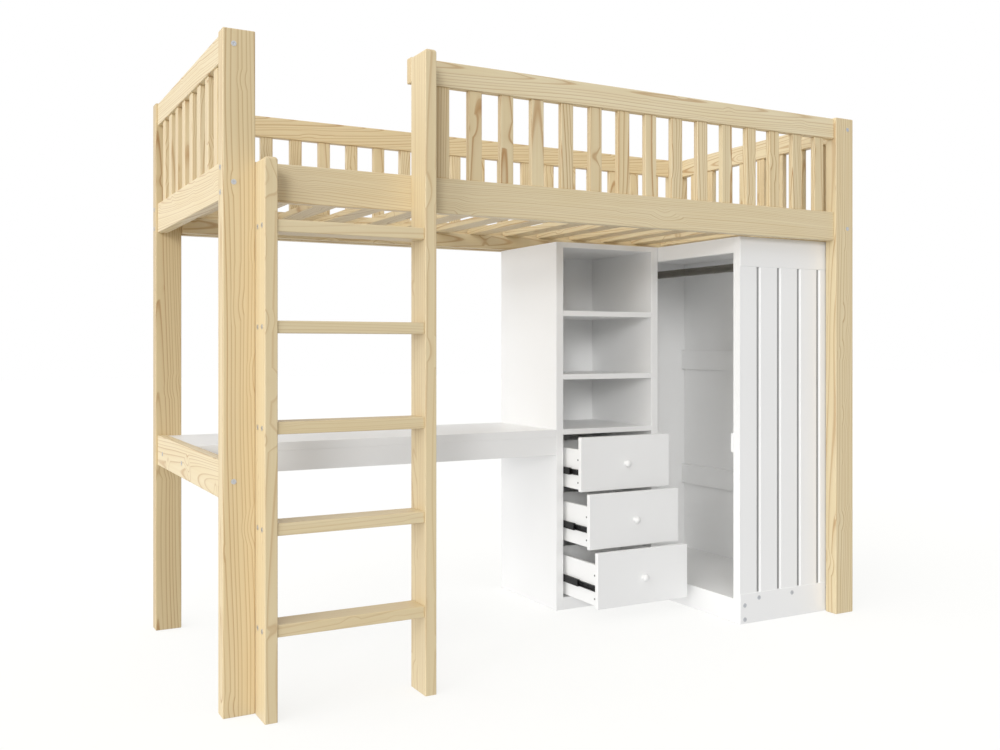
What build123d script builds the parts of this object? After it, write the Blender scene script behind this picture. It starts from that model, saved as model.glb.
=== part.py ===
"""Loft bed with a ladder, desk, shelf tower with three drawers, and an open wardrobe.

Frame: millimetres, +X to the bed's right, +Y to its back, +Z up. The origin is on the
floor, at the middle of the whole object's outline, ladder included.
"""
from build123d import *
import os

os.makedirs("parts", exist_ok=True)

# ---------------------------------------------------------------- driving dimensions
BED_LENGTH = 2080.0          # over the posts, for a 2000 mm mattress
BED_WIDTH = 1000.0           # over the posts, for a 900 mm mattress
BED_HEIGHT = 1674.0
LADDER_REACH = 90.0          # how far the ladder stands in front of the posts

POST_WIDTH = 78.0            # along X
POST_DEPTH = 50.0            # along Y
RAIL_THICK = 30.0
SIDE_SETBACK = 10.0          # side rails stand this far inside the posts' faces
END_SETBACK = 6.0            # end rails stand this far inside the posts' faces
SIDE_RAIL_BOTTOM = 1260.0
SIDE_RAIL_HEIGHT = 96.0
END_RAIL_BOTTOM = 1263.0
END_RAIL_HEIGHT = 92.0
GUARD_RAIL_TOP = 1671.0
GUARD_RAIL_HEIGHT = 68.0

GUARD_SLAT_WIDTH = 40.0
GUARD_SLAT_THICK = 20.0
FRONT_GUARD_SLATS = 15
BACK_GUARD_SLATS = 19
END_GUARD_SLATS = 8
FRONT_GUARD_END_GAP = 42.0

BED_SLATS = 14
BED_SLAT_WIDTH = 66.0
BED_SLAT_THICK = 18.0
BED_SLAT_PITCH = 144.0
CLEAT_DEPTH = 30.0
CLEAT_BOTTOM = 1264.0
CLEAT_TOP = 1314.0

STILE_WIDTH = 31.0
STILE_TOP_RADIUS = 9.0
LADDER_WIDTH = 440.0         # over both stiles
RUNGS = 5
RUNG_THICK = 30.0
RUNG_DEPTH = 80.0
RUNG_SETBACK = 6.0           # behind the stiles' front faces
FIRST_RUNG_TOP = 231.5
RUNG_PITCH = 244.0

DESK_TOP_HEIGHT = 618.0
DESK_TOP_THICK = 26.0
DESK_APRON_HEIGHT = 61.0
DESK_END_RAIL_BOTTOM = 526.0
DESK_END_RAIL_HEIGHT = 94.0
BOARD_THICK = 18.0

TOWER_LEFT = 1218.0          # from the bed's left face
TOWER_WIDTH = 420.0
TOWER_FRONT = 527.0          # from the posts' front faces
TOWER_BACK = 950.0
TOWER_HEIGHT = 1260.0
TOWER_SIDE_THICK = 28.0
BACK_THICK = 12.0
KICK_HEIGHT = 42.0
SHELF_TOPS = (807.0, 1025.0)

DRAWER_NAMES = ("bottom", "middle", "top")
DRAWER_PITCH = 185.0
DRAWER_FRONT_HEIGHT = 182.0
DRAWER_GAP = 3.0
DRAWER_OPEN = (222.0, 170.0, 114.0)   # how far each stands open as stored
BOX_LENGTH = 380.0
BOX_HEIGHT = 134.0
BOX_LIFT = 5.0               # above the front's lower edge
BOX_WALL = 12.0
BOX_BOTTOM_THICK = 5.0
SLIDE_GAP = 13.0             # between a tower side and a drawer's side
SLIDE_LENGTH = 350.0
SLIDE_START = 20.0           # behind the tower's front edge
SLIDE_CENTRE = 63.0          # above the front's lower edge
SLIDE_STEEL = 1.2
KNOB_HEIGHT = 88.0           # above the front's lower edge
KNOB_RADIUS = 12.0
KNOB_REACH = 24.0
KNOB_DOME = 8.0              # height of the domed face

WARDROBE_LEFT = 1640.0
WARDROBE_RIGHT = 2074.0
WARDROBE_FRONT = 60.0
FRONT_RAIL_HEIGHT = 97.0
BEAD_PITCH = 87.0
BEAD_FIRST = 78.0            # first groove, from the wardrobe's left edge
BEAD_WIDTH = 18.0
BEAD_DEPTH = 8.0
WARDROBE_STILE_WIDTH = 38.0
WARDROBE_KICK_HEIGHT = 78.0
WARDROBE_FLOOR_TOP = 76.0
HEADER_HEIGHT = 51.0
BATTEN_THICK = 15.0
END_BATTENS = ((343.0, 420.0), (810.0, 887.0))
FRONT_BATTEN = (556.0, 618.0)
HANGING_RAIL_X = 1848.0
HANGING_RAIL_Z = 1184.0
HANGING_RAIL_SIZE = (30.0, 15.0)
TUBE_WALL = 1.2

BOLT_SHANK_RADIUS = 4.0
BOLT_HEAD_RADIUS = 6.5
BOLT_HEAD_PROUD = 1.2
BOLT_SOCKET = 2.9            # hexagon socket, centre to corner
SCREW_SHANK_RADIUS = 3.0
SCREW_HEAD_RADIUS = 7.0
HOLE_CLEARANCE = 0.1
FIT = 0.2                    # hairline between boards that are screwed into one unit

PINE_EDGE = 2.5
PANEL_EDGE = 1.0

# ---------------------------------------------------------------- the frame of the part
# Sizes above are counted from the left face, the posts' front faces and the floor.
# ORIGIN_X and ORIGIN_Y are where the origin lies in that count.
ORIGIN_X = BED_LENGTH / 2
ORIGIN_Y = (BED_WIDTH + BOLT_HEAD_PROUD - LADDER_REACH) / 2


def box(x0, x1, y0, y1, z0, z1):
    """Limits of a board, counted from the bed's left front corner, in the part's frame."""
    return (x0 - ORIGIN_X, x1 - ORIGIN_X, y0 - ORIGIN_Y, y1 - ORIGIN_Y, z0, z1)


def place(x, y, z):
    """A point, counted from the bed's left front corner, in the part's frame."""
    return Vector(x - ORIGIN_X, y - ORIGIN_Y, z)


# ---------------------------------------------------------------- worked-out places
BED_RIGHT = BED_LENGTH
INNER_LEFT = POST_WIDTH
INNER_RIGHT = BED_LENGTH - POST_WIDTH
INNER_FRONT = POST_DEPTH
INNER_BACK = BED_WIDTH - POST_DEPTH
SIDE_FRONT = (SIDE_SETBACK, SIDE_SETBACK + RAIL_THICK)
SIDE_BACK = (BED_WIDTH - SIDE_SETBACK - RAIL_THICK, BED_WIDTH - SIDE_SETBACK)
END_LEFT = (END_SETBACK, END_SETBACK + RAIL_THICK)
END_RIGHT = (BED_LENGTH - END_SETBACK - RAIL_THICK, BED_LENGTH - END_SETBACK)
SIDE_RAIL_TOP = SIDE_RAIL_BOTTOM + SIDE_RAIL_HEIGHT
END_RAIL_TOP = END_RAIL_BOTTOM + END_RAIL_HEIGHT
GUARD_RAIL_BOTTOM = GUARD_RAIL_TOP - GUARD_RAIL_HEIGHT
SLAT_INSET = (RAIL_THICK - GUARD_SLAT_THICK) / 2
LEFT_STILE = (POST_WIDTH, POST_WIDTH + STILE_WIDTH)
RIGHT_STILE = (POST_WIDTH + LADDER_WIDTH - STILE_WIDTH, POST_WIDTH + LADDER_WIDTH)
TOWER_RIGHT = TOWER_LEFT + TOWER_WIDTH
TOWER_INNER = (TOWER_LEFT + TOWER_SIDE_THICK, TOWER_RIGHT - TOWER_SIDE_THICK)
TOWER_INNER_BACK = TOWER_BACK - BACK_THICK
WARDROBE_INNER_RIGHT = WARDROBE_RIGHT - BOARD_THICK
FRAME_BACK = WARDROBE_FRONT + 2 * BOARD_THICK
RUNG_TOPS = [FIRST_RUNG_TOP + RUNG_PITCH * i for i in range(RUNGS)]
DRAWER_BASES = [KICK_HEIGHT + DRAWER_GAP + DRAWER_PITCH * i for i in range(3)]
DRAWER_FRONT_X = (TOWER_INNER[0] + DRAWER_GAP, TOWER_INNER[1] - DRAWER_GAP)
BOX_X = (TOWER_INNER[0] + SLIDE_GAP, TOWER_INNER[1] - SLIDE_GAP)

# ---------------------------------------------------------------- bolts
# Each bolt is a point on the surface under its head, the way it points, and its length.
END_BOLT_X = POST_WIDTH / 3
GUARD_BOLT_Z = GUARD_RAIL_BOTTOM + GUARD_RAIL_HEIGHT / 2
END_BOLT_Z = 1301.0
DESK_BOLT_Z = DESK_END_RAIL_BOTTOM + DESK_END_RAIL_HEIGHT / 2
SIDE_BOLT_Z = (1277.0, 1338.0)
STILE_BOLT_Z = 1344.0


def frame_bolt_list():
    bolts = []
    for x in (END_BOLT_X, BED_LENGTH - END_BOLT_X):
        heights = [END_BOLT_Z, GUARD_BOLT_Z]
        if x < ORIGIN_X:
            heights.append(DESK_BOLT_Z)
        for z in heights:
            bolts.append((place(x, 0, z), Vector(0, 1, 0), POST_DEPTH + 40))
            bolts.append((place(x, BED_WIDTH, z), Vector(0, -1, 0), POST_DEPTH + 40))
    for y in (sum(SIDE_FRONT) / 2, sum(SIDE_BACK) / 2):
        for z in SIDE_BOLT_Z:
            bolts.append((place(0, y, z), Vector(1, 0, 0), POST_WIDTH + 42))
            bolts.append((place(BED_LENGTH, y, z), Vector(-1, 0, 0), POST_WIDTH + 42))
    for top in RUNG_TOPS:
        for y in (-23.5, -64.5):
            z = top - RUNG_THICK / 2
            bolts.append((place(LEFT_STILE[0], y, z), Vector(1, 0, 0), STILE_WIDTH + 39))
            bolts.append((place(RIGHT_STILE[1], y, z), Vector(-1, 0, 0), STILE_WIDTH + 39))
    for y in (551.0, 862.0):
        bolts.append((place(END_LEFT[0], y, 568.0), Vector(1, 0, 0), RAIL_THICK + 16))
    for stile, z in ((LEFT_STILE, STILE_BOLT_Z), (RIGHT_STILE, STILE_BOLT_Z),
                     (RIGHT_STILE, GUARD_BOLT_Z)):
        bolts.append((place(sum(stile) / 2, SIDE_FRONT[1], z), Vector(0, -1, 0),
                      RAIL_THICK + 50))
    return bolts


def screw_list():
    left = WARDROBE_LEFT + WARDROBE_STILE_WIDTH / 2
    right = WARDROBE_RIGHT - WARDROBE_STILE_WIDTH / 2
    spots = [(x, z) for x in (left, right) for z in (14.0, 60.0)]
    spots += [(WARDROBE_LEFT + d, 79.0) for d in (BEAD_FIRST, 220.0, 378.0)]
    return [(place(x, WARDROBE_FRONT, z), Vector(0, 1, 0), 32.0) for x, z in spots]


FRAME_BOLTS = frame_bolt_list()
CABINET_SCREWS = screw_list()


def enters(bolt, limits):
    """Whether a bolt's shank runs through the board with these limits."""
    start, way, length = bolt
    end = start + way * length
    low = Vector(min(start.X, end.X), min(start.Y, end.Y), min(start.Z, end.Z))
    high = Vector(max(start.X, end.X), max(start.Y, end.Y), max(start.Z, end.Z))
    x0, x1, y0, y1, z0, z1 = limits
    return (low.X < x1 and high.X > x0 and low.Y < y1 and high.Y > y0
            and low.Z < z1 and high.Z > z0)


def finish(piece, name):
    """Label a finished piece and write its file."""
    piece.part.label = name
    export_step(piece.part, f"parts/{name}.step")


def boards(name, limits_list, edge=PINE_EDGE):
    """One or more separate boards with rounded edges, drilled where bolts pass through."""
    with BuildPart() as piece:
        for x0, x1, y0, y1, z0, z1 in limits_list:
            with BuildSketch(Plane.XY.offset(z0)):
                with Locations(((x0 + x1) / 2, (y0 + y1) / 2)):
                    Rectangle(x1 - x0, y1 - y0)
            extrude(amount=z1 - z0)
        fillet(piece.edges(), edge)
        drill(limits_list)
    finish(piece, name)


def drill(limits_list):
    """Cut the holes of every bolt and screw that enters one of the boards."""
    holes = [(bolt, BOLT_SHANK_RADIUS) for bolt in FRAME_BOLTS]
    holes += [(screw, SCREW_SHANK_RADIUS) for screw in CABINET_SCREWS]
    for (start, way, length), radius in holes:
        if any(enters((start, way, length), limits) for limits in limits_list):
            with BuildSketch(Plane(origin=start, z_dir=way)) as hole:
                Circle(radius + HOLE_CLEARANCE)
            extrude(hole.sketch, amount=length + HOLE_CLEARANCE, mode=Mode.SUBTRACT)


def fasteners(name, items, shank_radius, head_radius):
    """Round-headed bolts with a hexagon socket, all as one group of separate solids."""
    with BuildPart() as group:
        for start, way, length in items:
            seat = Plane(origin=start, z_dir=way)
            with BuildSketch(seat):
                Circle(shank_radius)
            extrude(amount=length)
            with BuildSketch(seat):
                Circle(head_radius)
            extrude(amount=-BOLT_HEAD_PROUD)
        for start, way, length in items:
            with BuildSketch(Plane(origin=start - way * BOLT_HEAD_PROUD, z_dir=way)):
                RegularPolygon(BOLT_SOCKET, 6)
            extrude(amount=BOLT_HEAD_PROUD + 1.5, mode=Mode.SUBTRACT)
    finish(group, name)


# ---------------------------------------------------------------- pine frame
def make_posts():
    lefts = {"left": 0.0, "right": INNER_RIGHT}
    fronts = {"front": 0.0, "back": INNER_BACK}
    for row, y in fronts.items():
        for side, x in lefts.items():
            limits = box(x, x + POST_WIDTH, y, y + POST_DEPTH, 0, BED_HEIGHT)
            boards(f"post_{row}_{side}", [limits], 3.0)


def make_rails():
    for row, span in (("front", SIDE_FRONT), ("back", SIDE_BACK)):
        rail = box(INNER_LEFT, INNER_RIGHT, *span, SIDE_RAIL_BOTTOM, SIDE_RAIL_TOP)
        boards(f"side_rail_{row}", [rail])
    ends = [box(*span, INNER_FRONT, INNER_BACK, END_RAIL_BOTTOM, END_RAIL_TOP)
            for span in (END_LEFT, END_RIGHT)]
    boards("bed_end_rails", ends)
    boards("desk_end_rail", [box(*END_LEFT, INNER_FRONT, INNER_BACK, DESK_END_RAIL_BOTTOM,
                                 DESK_END_RAIL_BOTTOM + DESK_END_RAIL_HEIGHT)])


def make_guards():
    height = (GUARD_RAIL_BOTTOM, GUARD_RAIL_TOP)
    boards("guard_rail_front", [box(RIGHT_STILE[0], INNER_RIGHT, *SIDE_FRONT, *height)])
    boards("guard_rail_back", [box(INNER_LEFT, INNER_RIGHT, *SIDE_BACK, *height)])
    boards("guard_rails_ends", [box(*span, INNER_FRONT, INNER_BACK, *height)
                                for span in (END_LEFT, END_RIGHT)])

    first = RIGHT_STILE[1] + FRONT_GUARD_END_GAP
    last = INNER_RIGHT - FRONT_GUARD_END_GAP - GUARD_SLAT_WIDTH
    step = (last - first) / (FRONT_GUARD_SLATS - 1)
    starts = [first + step * i for i in range(FRONT_GUARD_SLATS)]
    boards("guard_slats_front", long_slats(starts, SIDE_FRONT))

    starts = even_starts(INNER_LEFT, INNER_RIGHT, BACK_GUARD_SLATS)
    boards("guard_slats_back", long_slats(starts, SIDE_BACK))

    starts = even_starts(INNER_FRONT, INNER_BACK, END_GUARD_SLATS)
    slats = [box(span[0] + SLAT_INSET, span[1] - SLAT_INSET, y, y + GUARD_SLAT_WIDTH,
                 END_RAIL_TOP, GUARD_RAIL_BOTTOM)
             for span in (END_LEFT, END_RIGHT) for y in starts]
    boards("guard_slats_ends", slats, 2.0)


def even_starts(low, high, count):
    """Starts of guard slats that leave equal gaps between two posts."""
    gap = (high - low - count * GUARD_SLAT_WIDTH) / (count + 1)
    return [low + gap + (gap + GUARD_SLAT_WIDTH) * i for i in range(count)]


def long_slats(starts, span):
    """Guard slats of a long side, one at each start along X."""
    return [box(x, x + GUARD_SLAT_WIDTH, span[0] + SLAT_INSET, span[1] - SLAT_INSET,
                SIDE_RAIL_TOP, GUARD_RAIL_BOTTOM) for x in starts]


def make_slatted_base():
    cleats = [box(INNER_LEFT, INNER_RIGHT, y, y + CLEAT_DEPTH, CLEAT_BOTTOM, CLEAT_TOP)
              for y in (SIDE_FRONT[1], SIDE_BACK[0] - CLEAT_DEPTH)]
    boards("slat_cleats", cleats)
    run = BED_SLAT_PITCH * (BED_SLATS - 1) + BED_SLAT_WIDTH
    first = (BED_LENGTH - run) / 2
    slats = [box(first + BED_SLAT_PITCH * i, first + BED_SLAT_PITCH * i + BED_SLAT_WIDTH,
                 INNER_FRONT + 1, INNER_BACK - 1, CLEAT_TOP, CLEAT_TOP + BED_SLAT_THICK)
             for i in range(BED_SLATS)]
    boards("bed_slats", slats, 2.0)


def make_stile(name, span, top):
    """A ladder stile, its upper end rounded over on all four sides."""
    x0, x1, y0, y1, z0, z1 = box(*span, -LADDER_REACH, SIDE_FRONT[0], 0, top)
    with BuildPart() as stile:
        with BuildSketch(Plane.XZ.offset(-y0)):
            with Locations(((x0 + x1) / 2, (z0 + z1) / 2)):
                corners = Rectangle(x1 - x0, z1 - z0).vertices().group_by(Axis.Y)[-1]
            fillet(corners, STILE_TOP_RADIUS)
        extrude(amount=y0 - y1)
        with BuildSketch(Plane.YZ.offset(x0)):
            with Locations(((y0 + y1) / 2, (z0 + z1) / 2)):
                corners = Rectangle(y1 - y0, z1 - z0).vertices().group_by(Axis.Y)[-1]
            fillet(corners, STILE_TOP_RADIUS)
        extrude(amount=x1 - x0, mode=Mode.INTERSECT)
        fillet(stile.edges().filter_by(Axis.Z), PINE_EDGE)
        drill([(x0, x1, y0, y1, z0, z1)])
    finish(stile, name)


def make_ladder():
    make_stile("ladder_stile_left", LEFT_STILE, SIDE_RAIL_TOP)
    make_stile("ladder_stile_right", RIGHT_STILE, GUARD_RAIL_TOP)
    front = RUNG_SETBACK - LADDER_REACH
    boards("ladder_rungs", [box(LEFT_STILE[1], RIGHT_STILE[0], front, front + RUNG_DEPTH,
                                top - RUNG_THICK, top) for top in RUNG_TOPS])


# ---------------------------------------------------------------- desk
def make_desk():
    under = DESK_TOP_HEIGHT - DESK_TOP_THICK
    boards("desk_top", [box(END_LEFT[1], TOWER_LEFT, TOWER_FRONT, TOWER_BACK,
                            under, DESK_TOP_HEIGHT)], 1.5)
    boards("desk_apron", [box(END_LEFT[1], TOWER_LEFT, TOWER_FRONT + 1,
                              TOWER_FRONT + 1 + BOARD_THICK,
                              under - DESK_APRON_HEIGHT, under)], PANEL_EDGE)
    boards("desk_end_cleat", [box(END_LEFT[1], END_LEFT[1] + 20,
                                  TOWER_FRONT + 1 + BOARD_THICK, TOWER_BACK,
                                  under - 48, under)], PANEL_EDGE)


# ---------------------------------------------------------------- shelf tower
def make_tower():
    for side, x in (("left", TOWER_LEFT), ("right", TOWER_INNER[1])):
        boards(f"tower_side_{side}", [box(x, x + TOWER_SIDE_THICK, TOWER_FRONT, TOWER_BACK,
                                          0, TOWER_HEIGHT)], 1.5)
    boards("tower_back", [box(*TOWER_INNER, TOWER_INNER_BACK, TOWER_BACK,
                              KICK_HEIGHT - BOARD_THICK, TOWER_HEIGHT)], PANEL_EDGE)
    deck_top = DRAWER_BASES[-1] + DRAWER_FRONT_HEIGHT + DRAWER_GAP + BOARD_THICK
    level(TOWER_HEIGHT, "tower_top")
    level(deck_top, "tower_drawer_deck")
    shelves = [shelf(top) for top in SHELF_TOPS]
    boards("tower_shelves", shelves, PANEL_EDGE)
    boards("tower_bottom", [box(*TOWER_INNER, TOWER_FRONT + BOARD_THICK, TOWER_INNER_BACK,
                                KICK_HEIGHT - BOARD_THICK, KICK_HEIGHT)], PANEL_EDGE)
    boards("tower_kick_board", [box(*TOWER_INNER, TOWER_FRONT, TOWER_FRONT + BOARD_THICK,
                                    0, KICK_HEIGHT)], PANEL_EDGE)


def shelf(top):
    """Limits of a full-depth shelf between the tower's sides."""
    return box(*TOWER_INNER, TOWER_FRONT, TOWER_INNER_BACK, top - BOARD_THICK, top)


def level(top, name):
    boards(name, [shelf(top)], PANEL_EDGE)


# ---------------------------------------------------------------- wardrobe
def make_wardrobe():
    mid = WARDROBE_FRONT + BOARD_THICK
    rail_heights = ((0, FRONT_RAIL_HEIGHT), (TOWER_HEIGHT - FRONT_RAIL_HEIGHT, TOWER_HEIGHT))
    boards("wardrobe_front_rails",
           [box(WARDROBE_LEFT, WARDROBE_RIGHT, WARDROBE_FRONT, mid, *z)
            for z in rail_heights], 1.5)
    make_beadboard(mid)
    boards("wardrobe_stiles",
           [box(x, x + WARDROBE_STILE_WIDTH, mid, FRAME_BACK, 0, TOWER_HEIGHT)
            for x in (WARDROBE_LEFT, WARDROBE_RIGHT - WARDROBE_STILE_WIDTH)], 1.5)
    make_end_panel()
    boards("wardrobe_back_panel", [box(TOWER_RIGHT + 2, WARDROBE_INNER_RIGHT,
                                       TOWER_INNER_BACK, TOWER_BACK, 0, TOWER_HEIGHT)],
           PANEL_EDGE)
    behind_rail = WARDROBE_LEFT + BOARD_THICK
    boards("wardrobe_top", [box(behind_rail, WARDROBE_INNER_RIGHT, FRAME_BACK,
                                TOWER_INNER_BACK, TOWER_HEIGHT - BOARD_THICK,
                                TOWER_HEIGHT)], PANEL_EDGE)
    boards("wardrobe_floor", [box(behind_rail, WARDROBE_INNER_RIGHT, FRAME_BACK,
                                  TOWER_INNER_BACK, WARDROBE_FLOOR_TOP - BOARD_THICK,
                                  WARDROBE_FLOOR_TOP)], PANEL_EDGE)
    rail_span = (WARDROBE_LEFT, behind_rail, FRAME_BACK, TOWER_INNER_BACK)
    boards("wardrobe_kick_rail", [box(*rail_span, 0, WARDROBE_KICK_HEIGHT)], 1.5)
    boards("wardrobe_header_rail", [box(*rail_span, TOWER_HEIGHT - HEADER_HEIGHT,
                                        TOWER_HEIGHT)], 1.5)
    battens = [box(WARDROBE_INNER_RIGHT - BATTEN_THICK, WARDROBE_INNER_RIGHT,
                   FRAME_BACK + BATTEN_THICK + FIT, TOWER_INNER_BACK, *z)
               for z in END_BATTENS]
    battens.append(box(WARDROBE_LEFT + 2, WARDROBE_INNER_RIGHT, FRAME_BACK,
                       FRAME_BACK + BATTEN_THICK, *FRONT_BATTEN))
    boards("wardrobe_battens", battens, PANEL_EDGE)


def make_beadboard(back):
    """The front's tongue-and-groove field, its boards marked off by V grooves."""
    x0, x1, y0, y1, z0, z1 = box(WARDROBE_LEFT, WARDROBE_RIGHT, WARDROBE_FRONT + 1.5, back,
                                 FRONT_RAIL_HEIGHT, TOWER_HEIGHT - FRONT_RAIL_HEIGHT)
    grooves = []
    x = x0 + BEAD_FIRST
    while x < x1 - BEAD_WIDTH:
        grooves.append(x)
        x += BEAD_PITCH
    with BuildPart() as field:
        with BuildSketch(Plane.XY.offset(z0)):
            with Locations(((x0 + x1) / 2, (y0 + y1) / 2)):
                Rectangle(x1 - x0, y1 - y0)
        extrude(amount=z1 - z0)
        with BuildSketch(Plane.XY.offset(z0)):
            for x in grooves:
                with BuildLine():
                    Polyline((x - BEAD_WIDTH / 2, y0), (x, y0 + BEAD_DEPTH),
                             (x + BEAD_WIDTH / 2, y0), close=True)
                make_face()
        extrude(amount=z1 - z0, mode=Mode.SUBTRACT)
    finish(field, "wardrobe_front_boards")


def make_end_panel():
    """The right end, between the back panel and the front frame, grooved outside."""
    x0, x1, y0, y1, z0, z1 = box(WARDROBE_INNER_RIGHT, WARDROBE_RIGHT, FRAME_BACK,
                                 TOWER_BACK, 0, TOWER_HEIGHT)
    with BuildPart() as panel:
        with BuildSketch(Plane.XY.offset(z0)):
            with Locations(((x0 + x1) / 2, (y0 + y1) / 2)):
                Rectangle(x1 - x0, y1 - y0)
        extrude(amount=z1 - z0)
        with BuildSketch(Plane.XY.offset(z0)):
            count = int((y1 - y0) // BEAD_PITCH)
            for i in range(1, count + 1):
                y = y0 + BEAD_PITCH * i
                with BuildLine():
                    Polyline((x1, y - BEAD_WIDTH / 2), (x1 - BEAD_DEPTH, y),
                             (x1, y + BEAD_WIDTH / 2), close=True)
                make_face()
        extrude(amount=z1 - z0, mode=Mode.SUBTRACT)
    finish(panel, "wardrobe_end_panel")


def make_hanging_rail():
    """An oval steel tube from front to back, its ends held in two oval cups."""
    tall, wide = HANGING_RAIL_SIZE
    front = place(HANGING_RAIL_X, WARDROBE_FRONT + BOARD_THICK, HANGING_RAIL_Z)
    back = place(HANGING_RAIL_X, TOWER_INNER_BACK, HANGING_RAIL_Z)
    base = 2.0
    cup = 12.0
    with BuildPart() as tube:
        start = Plane(origin=front + Vector(0, base, 0), x_dir=(0, 0, 1), z_dir=(0, 1, 0))
        with BuildSketch(start):
            SlotOverall(tall, wide)
            SlotOverall(tall - 2 * TUBE_WALL, wide - 2 * TUBE_WALL, mode=Mode.SUBTRACT)
        extrude(amount=back.Y - front.Y - 2 * base)
    finish(tube, "hanging_rail")
    with BuildPart() as cups:
        for origin, way in ((front, 1), (back, -1)):
            seat = Plane(origin=origin, x_dir=(0, 0, 1), z_dir=(0, way, 0))
            with BuildSketch(seat):
                SlotOverall(tall + 12, wide + 9)
            extrude(amount=base)
            with BuildSketch(seat.offset(base)):
                SlotOverall(tall + 6, wide + 6)
                SlotOverall(tall + 2 * FIT, wide + 2 * FIT, mode=Mode.SUBTRACT)
            extrude(amount=cup)
    finish(cups, "hanging_rail_sockets")


# ---------------------------------------------------------------- drawers
def make_drawer(name, base, opened):
    """One drawer, standing open by the given amount."""
    front = TOWER_FRONT - opened
    behind = front + BOARD_THICK
    x0, x1 = BOX_X
    low = base + BOX_LIFT
    high = low + BOX_HEIGHT
    boards(f"drawer_front_{name}", [box(*DRAWER_FRONT_X, front, behind, base,
                                        base + DRAWER_FRONT_HEIGHT)], 1.5)
    inside = (x0 + BOX_WALL + FIT, x1 - BOX_WALL - FIT)
    rear = behind + BOX_LENGTH
    floor_low = low + 8
    floor_high = floor_low + BOX_BOTTOM_THICK
    walls = [box(x0, x0 + BOX_WALL, behind, rear, low, high),
             box(x1 - BOX_WALL, x1, behind, rear, low, high),
             box(*inside, rear - BOX_WALL, rear, floor_high + FIT, high),
             box(*inside, behind + FIT, rear, floor_low, floor_high)]
    boards(f"drawer_box_{name}", walls, 0.8)
    make_knob(f"drawer_knob_{name}", place(sum(DRAWER_FRONT_X) / 2, front,
                                           base + KNOB_HEIGHT))


def make_knob(name, foot):
    """A turned mushroom knob: foot, waist and domed head, turned about Y."""
    rim = KNOB_DOME - KNOB_REACH
    sphere = (KNOB_RADIUS ** 2 + KNOB_DOME ** 2) / (2 * KNOB_DOME)
    diagonal = sphere * 0.5 ** 0.5
    on_dome = (diagonal, sphere - KNOB_REACH - diagonal)
    with BuildPart() as knob:
        with BuildSketch(Plane(origin=foot, x_dir=(1, 0, 0), z_dir=(0, 0, 1))):
            with BuildLine():
                Polyline((0, 0), (7.5, 0), (7.5, -2))
                Spline((7.5, -2), (5.5, -8), (KNOB_RADIUS, rim))
                ThreePointArc((KNOB_RADIUS, rim), on_dome, (0, -KNOB_REACH))
                Line((0, -KNOB_REACH), (0, 0))
            make_face()
        revolve(axis=Axis(foot, (0, 1, 0)))
    finish(knob, name)


def channel(x_web, x_lip, half_height, y0, y1, z):
    """A steel channel along Y, its web upright at x_web and its lips reaching x_lip."""
    t = SLIDE_STEEL
    side = 1 if x_lip > x_web else -1
    across = abs(x_lip - x_web)
    with BuildSketch(Plane.XZ.offset(-y0)) as profile:
        with Locations((x_web + side * t / 2, z)):
            Rectangle(t, 2 * half_height)
        for lip in (half_height - t / 2, t / 2 - half_height):
            with Locations((x_web + side * across / 2, z + lip)):
                Rectangle(across, t)
    extrude(profile.sketch, amount=y0 - y1)


def slide_pair(web, lip, half_height, y0, z):
    """Left and right members of one slide pair. web and lip count from a tower side."""
    left, right = TOWER_INNER
    for wall, way in ((left, 1), (right, -1)):
        start = place(wall + way * web, y0, z)
        channel(start.X, place(wall + way * lip, 0, 0).X, half_height, start.Y,
                start.Y + SLIDE_LENGTH, start.Z)


OUTER_SLIDE = (0.0, 10.0, 13.5)
MIDDLE_SLIDE = (2.2, 11.2, 11.4)
INNER_SLIDE = (SLIDE_GAP, 4.6, 9.0)


def make_slides():
    """Ball slides in three members: on the tower, floating, and on the drawer."""
    with BuildPart() as outer:
        for base in DRAWER_BASES:
            slide_pair(*OUTER_SLIDE, TOWER_FRONT + SLIDE_START, base + SLIDE_CENTRE)
    finish(outer, "slide_outer_members")
    for name, base, opened in zip(DRAWER_NAMES, DRAWER_BASES, DRAWER_OPEN):
        start = TOWER_FRONT + SLIDE_START
        with BuildPart() as middle:
            slide_pair(*MIDDLE_SLIDE, start - opened / 2, base + SLIDE_CENTRE)
        finish(middle, f"slide_middle_{name}")
        with BuildPart() as inner:
            slide_pair(*INNER_SLIDE, start - opened, base + SLIDE_CENTRE)
        finish(inner, f"slide_inner_{name}")


make_posts()
make_rails()
make_guards()
make_slatted_base()
make_ladder()
make_desk()
make_tower()
make_wardrobe()
make_hanging_rail()
for drawer_name, drawer_base, drawer_open in zip(DRAWER_NAMES, DRAWER_BASES, DRAWER_OPEN):
    make_drawer(drawer_name, drawer_base, drawer_open)
make_slides()
fasteners("frame_bolts", FRAME_BOLTS, BOLT_SHANK_RADIUS, BOLT_HEAD_RADIUS)
fasteners("cabinet_screws", CABINET_SCREWS, SCREW_SHANK_RADIUS, SCREW_HEAD_RADIUS)
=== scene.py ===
"""Finishes, small fittings and studio for a pine loft bed with white furniture under it."""
import math

import bmesh
import bpy
from mathutils import Matrix, Vector


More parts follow.
